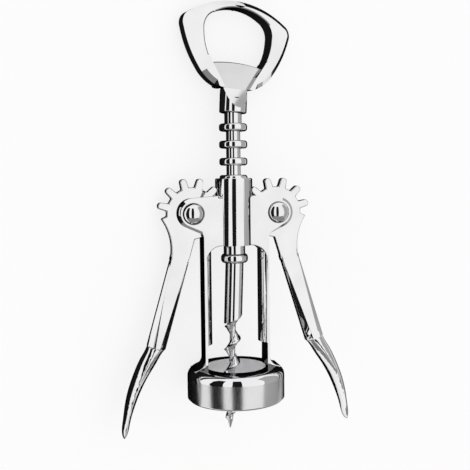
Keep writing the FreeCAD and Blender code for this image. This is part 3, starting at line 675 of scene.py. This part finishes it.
class CORKSCREW_OT_handle(bpy.types.Operator):
    """Finishes the handle: a chamfered ring round the opener's slightly bowed tongue"""

    bl_idname = "corkscrew.handle"
    bl_label = "Handle"

    def execute(self, context):
        size = sizes()
        turn = Matrix.Rotation(size.handle_turn, 4, "Z")
        lean = Matrix.Rotation(size.handle_lean, 4, "Y")
        own = LAY @ Matrix.Translation((0, 0, size.shank_level * MM)) @ turn @ lean
        inverse = own.inverted()
        piece = taken_from("opener_handle", "opener_handle_plated")

        half, foot = size.handle_half_depth, size.handle_foot
        hole_foot = foot + size.tongue_height
        hole_half_width, hole_half_height, hole_rise = 15.4, 11.9, 8.5
        hole_side, ring_side, hole_margin = 1.1, 1.15, 0.7
        shank_reach, face_rise, row_margin, tongue_depth = 5, 0.3, 0.5, 1

        def on_face(a, b):
            return all(
                abs(abs(p.y) - half) < NEAR and p.z > foot + face_rise for p in (a, b)
            )

        def spread(p):
            """Distance from the hole's middle: 1 on the ellipse that the hole follows."""
            return math.hypot(
                p.x / hole_half_width, (p.z - hole_foot - hole_rise) / hole_half_height
            )

        def inner(a, b):
            return on_face(a, b) and all(
                spread(p) < hole_side and p.z > hole_foot + hole_margin for p in (a, b)
            )

        def outer(a, b):
            return on_face(a, b) and all(spread(p) > ring_side for p in (a, b))

        round_edges(piece, size.handle_chamfer, 1, outer, inverse)
        row = half - size.handle_chamfer
        for way in (-1, 1):
            shift(
                piece, lambda p: abs(p.y - way * row) < NEAR and p.z > foot - row_margin,
                (0, way * (size.handle_chamfer - size.handle_drop), 0), inverse,
            )
        round_edges(piece, size.handle_inner, 3, inner, inverse)
        self.crown_tongue(piece, inverse, hole_foot)
        crease(
            piece, 5, 1.5, inverse,
            lambda p: p.z < hole_foot
            and (abs(p.y) < half - tongue_depth or abs(p.x) < shank_reach),
        )
        crease(piece, 20, 0.0, inverse)
        smooth(piece)
        placed(piece, "spindle", ("polished", "tongue"), "opener_handle")
        least_area, pocket, upright = 0.3 * MM * MM, 1.2, 0.6
        for face in piece.data.polygons:
            centre = (inverse @ face.center) / MM
            normal = inverse.to_3x3() @ face.normal
            flat = abs(normal.y) > upright and face.area > least_area
            if flat and centre.z < hole_foot and abs(centre.y) < half - pocket:
                face.material_index = 1
        return {"FINISHED"}

    def crown_tongue(self, piece, inverse, level):
        """Bows the tongue's straight edge a little and slopes it off to the front and back."""
        size = sizes()
        half, reach, cuts = size.tongue_half, size.tongue_reach, 11
        pace, margin = 2 * reach / (cuts + 1), 0.1

        def on_edge(p):
            return abs(p.z - level) < TOUCHING and abs(abs(p.y) - half) < TOUCHING

        def whole_edge(edge):
            first, last = ends(edge, inverse)
            return on_edge(first) and on_edge(last) and abs(first.x - last.x) > reach

        def bow(x):
            return size.tongue_bow * (x / reach) ** 2

        pick(piece, "EDGE", whole_edge)
        bpy.ops.mesh.subdivide(number_cuts=cuts)
        bpy.ops.object.mode_set(mode="OBJECT")
        for step in range(1, (cuts + 1) // 2 + 1):
            place = step * pace
            shift(
                piece, lambda p: on_edge(p) and abs(abs(p.x) - place) < pace / 4,
                (0, 0, -bow(place)), inverse,
            )

        def bowed_edge(a, b):
            return all(
                abs(abs(p.y) - half) < TOUCHING and abs(p.z - level + bow(p.x)) < NEAR
                for p in (a, b)
            ) and abs(a.y - b.y) < TOUCHING

        round_edges(piece, size.tongue_edge, 1, bowed_edge, inverse)
        row = half - size.tongue_edge
        for way in (-1, 1):
            shift(
                piece,
                lambda p: abs(p.y - way * row) < NEAR and abs(p.x) < reach + margin
                and level - size.tongue_bow - margin < p.z < level + margin,
                (0, -way * size.tongue_slope, 0), inverse,
            )


class CORKSCREW_OT_rack(bpy.types.Operator):
    """Turns the rack: a rod with rings whose rims are well rounded"""

    bl_idname = "corkscrew.rack"
    bl_label = "Rack"

    def execute(self, context):
        size = sizes()
        rim, half = size.ring_round, size.ring_thickness / 2
        profile = [(size.rod_radius, size.rack_bottom)]
        for index in range(size.ring_count):
            level = size.lowest_ring + index * size.ring_pitch
            last = index == size.ring_count - 1
            reach = size.ring_radius - rim
            profile.append((size.rod_radius, level - half))
            profile += arc(reach, level - half + rim, rim, -90, 0)
            profile += arc(reach, level + half - rim, rim, 0, 90)
            profile.append((size.neck_radius if last else size.rod_radius, level + half))
        into_shank = 0.1
        profile.append((size.neck_radius, size.shank_level + into_shank))
        piece = lathe("rack_spindle_plated", profile)
        lay_down(piece)
        smooth(piece, 50)
        placed(piece, "spindle", ("turned",), "rack_spindle")
        return {"FINISHED"}


class CORKSCREW_OT_worm_wire(bpy.types.Operator):
    """Winds the worm's thick wire: a drop-shaped section pulled down step by step"""

    bl_idname = "corkscrew.worm_wire"
    bl_label = "Worm Wire"

    def execute(self, context):
        size = sizes()
        sides, turn_steps, below_start, blunt = 24, 24, 1, 0.25
        step = size.worm_pitch / turn_steps
        level = size.worm_start + below_start
        bpy.ops.object.select_all(action="DESELECT")
        bpy.ops.mesh.primitive_circle_add(
            vertices=sides, radius=size.wire_radius * MM, fill_type="NGON",
            location=(size.wire_offset * MM, 0, -level * MM),
        )
        piece = bpy.context.active_object
        piece.name = piece.data.name = "worm_wire"
        bpy.ops.object.transform_apply(location=True, rotation=True, scale=True)
        crest = size.thread_radius - size.wire_offset - size.wire_radius
        reach = size.wire_offset + size.wire_radius
        band = 0.2
        for below, share in ((0.01, 1.0), (0.1, 0.45), (0.3, 0.1)):
            low = reach - below
            shift(piece, lambda p: low < p.x <= low + band, (crest * share, 0, 0), Matrix())
        only(piece)
        bpy.ops.object.mode_set(mode="EDIT")
        bpy.ops.mesh.select_all(action="SELECT")
        first = size.worm_phase - 2 * math.pi * below_start / size.worm_pitch
        bpy.ops.transform.rotate(value=-first, orient_axis="Z", center_override=(0, 0, 0))
        while level < size.worm_length - TOUCHING:
            left = size.worm_length - level
            fall = min(step, left)
            bpy.ops.mesh.extrude_region_move(
                TRANSFORM_OT_translate={"value": (0, 0, -fall * MM)}
            )
            bpy.ops.transform.rotate(
                value=2 * math.pi * fall / size.worm_pitch, orient_axis="Z",
                center_override=(0, 0, 0),
            )
            level += fall
            now = min(1, max(size.worm_length - level, blunt) / size.worm_taper)
            before = min(1, left / size.worm_taper)
            bpy.ops.transform.resize(
                value=(now / before, now / before, 1), center_override=(0, 0, -level * MM)
            )
        bpy.ops.object.mode_set(mode="OBJECT")
        face_outwards(piece)
        lean = Matrix.Rotation(size.worm_lean, 4, "Y")
        piece.matrix_world = LAY @ Matrix.Translation((0, 0, size.shaft_top * MM)) @ lean
        bpy.ops.object.transform_apply(location=True, rotation=True, scale=True)
        smooth(piece, 70)
        placed(piece, "spindle", ("turned",))
        return {"FINISHED"}


class CORKSCREW_OT_plain_nodes(bpy.types.Operator):
    """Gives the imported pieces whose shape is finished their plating"""

    bl_idname = "corkscrew.plain_nodes"
    bl_label = "Plated Nodes"

    def execute(self, context):
        for name in ("pivot_rivet_left", "pivot_rivet_right", "stop_ferrule", "worm"):
            for slot in frame["nodes"][name].material_slots:
                slot.material = material("turned")
        return {"FINISHED"}


class CORKSCREW_OT_stage(bpy.types.Operator):
    """Sets the floor, the cards that the plating mirrors, the world and the camera"""

    bl_idname = "corkscrew.stage"
    bl_label = "Stage"

    def floor(self):
        """A pale floor, nearly white to the camera and the plating, that keeps its shadow."""
        width, white_share, mottle_scale, tint = 4, 0.8, 14, finish().floor
        bpy.ops.object.select_all(action="DESELECT")
        bpy.ops.mesh.primitive_plane_add(size=width)
        floor = bpy.context.active_object
        floor.name = "floor"
        paint = bpy.data.materials.new("floor_paint")
        paint.use_nodes = True
        nodes, links = paint.node_tree.nodes, paint.node_tree.links
        shader = nodes["Principled BSDF"]
        place = nodes.new("ShaderNodeTexCoord").outputs["Object"]
        tone = nodes.new("ShaderNodeValToRGB")
        tone.color_ramp.elements[0].color = (*[c * 0.985 for c in tint], 1)
        tone.color_ramp.elements[1].color = (*tint, 1)
        links.new(noise(nodes, links, place, mottle_scale, 2), tone.inputs["Fac"])
        links.new(tone.outputs["Color"], shader.inputs["Base Color"])
        shader.inputs["Roughness"].default_value = 0.6
        shader.inputs["Specular IOR Level"].default_value = 0.25
        white = nodes.new("ShaderNodeEmission")
        path = nodes.new("ShaderNodeLightPath")
        either = nodes.new("ShaderNodeMath")
        either.operation = "MAXIMUM"
        links.new(path.outputs["Is Camera Ray"], either.inputs[0])
        links.new(path.outputs["Is Glossy Ray"], either.inputs[1])
        share = nodes.new("ShaderNodeMath")
        share.operation = "MULTIPLY"
        share.inputs[1].default_value = white_share
        links.new(either.outputs[0], share.inputs[0])
        mix = nodes.new("ShaderNodeMixShader")
        links.new(share.outputs[0], mix.inputs["Fac"])
        links.new(shader.outputs["BSDF"], mix.inputs[1])
        links.new(white.outputs["Emission"], mix.inputs[2])
        links.new(mix.outputs["Shader"], nodes["Material Output"].inputs["Surface"])
        floor.data.materials.append(paint)

    def card(self, name, place, grey):
        """A plain studio card that only the plating mirrors: 1 m square before it is placed."""
        bpy.ops.object.select_all(action="DESELECT")
        bpy.ops.mesh.primitive_plane_add(size=1)
        card = bpy.context.active_object
        card.name = name
        card.matrix_world = place
        bpy.ops.object.transform_apply(location=True, rotation=True, scale=True)
        cloth = bpy.data.materials.new(name + "_cloth")
        cloth.use_nodes = True
        shader = cloth.node_tree.nodes["Principled BSDF"]
        shader.inputs["Base Color"].default_value = (0, 0, 0, 1)
        shader.inputs["Specular IOR Level"].default_value = 0
        shader.inputs["Emission Color"].default_value = (grey, grey, grey, 1)
        shader.inputs["Emission Strength"].default_value = 1
        card.data.materials.append(cloth)
        card.visible_camera = False
        card.visible_diffuse = False
        card.visible_shadow = False

    def side_card(self, name, low, high, grey):
        """A card beside the spindle's line. Its angles count from the camera's side, towards
        the right of the photograph."""
        distance, length, level = 1.2, 3.0, 0.09
        middle = CAMERA_SIDE + math.radians((low + high) / 2)
        width = 2 * distance * math.tan(math.radians(high - low) / 2)
        out = Vector((math.sin(middle), -math.cos(middle), 0))
        across = Vector((math.cos(middle), math.sin(middle), 0))
        turn = Matrix((across, Vector((0, 0, 1)), -out)).transposed().to_4x4()
        place = Matrix.Translation(out * distance + Vector((0, 0, level)))
        self.card(name, LAY @ place @ turn @ Matrix.Diagonal((width, length, 1, 1)), grey)

    def execute(self, context):
        black, dark_grey, middle_grey, daylight = 0.01, 0.25, 0.4, 0.95
        self.floor()
        self.side_card("dark_card_left", -62, -30, black)
        self.side_card("dark_card_front", -9, 15, black)
        self.side_card("grey_card_right", 68, 119, middle_grey)
        foot_place, foot_size = (0, 0, -0.9), (2.4, 2.4, 1, 1)
        below = LAY @ Matrix.Translation(foot_place) @ Matrix.Diagonal(foot_size)
        self.card("grey_card_below", below, dark_grey)
        ground_place, ground_size = (0.01, 0.005, 0.0003), (0.14, 0.21, 1, 1)
        ground = Matrix.Translation(ground_place) @ Matrix.Diagonal(ground_size)
        self.card("dark_card_ground", ground, black)
        world = bpy.data.worlds.new("studio")
        world.use_nodes = True
        sky = world.node_tree.nodes["Background"]
        sky.inputs["Color"].default_value = (1, 1, 1, 1)
        sky.inputs["Strength"].default_value = daylight
        context.scene.world = world
        data = bpy.data.cameras.new("camera")
        data.lens = CAMERA_LENS
        data.sensor_width = 36
        camera = bpy.data.objects.new("camera", data)
        context.scene.collection.objects.link(camera)
        camera.matrix_world = Matrix.Translation(CAMERA_PLACE) @ Matrix(CAMERA_TURN).to_4x4()
        context.scene.camera = camera
        context.scene.view_settings.view_transform = "Standard"
        return {"FINISHED"}


class CORKSCREW_PT_panel(bpy.types.Panel):
    """Lists the pieces in the 3D view's sidebar"""

    bl_idname = "CORKSCREW_PT_panel"
    bl_label = "Wing Corkscrew"
    bl_space_type = "VIEW_3D"
    bl_region_type = "UI"
    bl_category = "Corkscrew"

    def draw(self, context):
        for operator in OPERATORS:
            self.layout.operator(operator.bl_idname)
        for group in (context.scene.corkscrew_sizes, context.scene.corkscrew_finish):
            box = self.layout.box()
            for name in group.__annotations__:
                box.prop(group, name)


OPERATORS = (
    CORKSCREW_OT_stage,
    CORKSCREW_OT_casting,
    CORKSCREW_OT_feet,
    CORKSCREW_OT_levers,
    CORKSCREW_OT_handle,
    CORKSCREW_OT_rack,
    CORKSCREW_OT_worm_wire,
    CORKSCREW_OT_plain_nodes,
)
CLASSES = (CorkscrewSizes, CorkscrewFinish) + OPERATORS + (CORKSCREW_PT_panel,)


def register():
    """Registers the classes and hangs the two groups on the scene."""
    for item in CLASSES:
        bpy.utils.register_class(item)
    bpy.types.Scene.corkscrew_sizes = PointerProperty(type=CorkscrewSizes)
    bpy.types.Scene.corkscrew_finish = PointerProperty(type=CorkscrewFinish)


def unregister():
    """Takes the classes and groups away again."""
    del bpy.types.Scene.corkscrew_sizes
    del bpy.types.Scene.corkscrew_finish
    for item in reversed(CLASSES):
        bpy.utils.unregister_class(item)


def main():
    """Makes the stage and every piece."""
    register()
    bpy.ops.corkscrew.stage()
    bpy.ops.corkscrew.casting()
    bpy.ops.corkscrew.feet()
    bpy.ops.corkscrew.levers()
    bpy.ops.corkscrew.handle()
    bpy.ops.corkscrew.rack()
    bpy.ops.corkscrew.worm_wire()
    bpy.ops.corkscrew.plain_nodes()


if __name__ == "__main__":
    main()
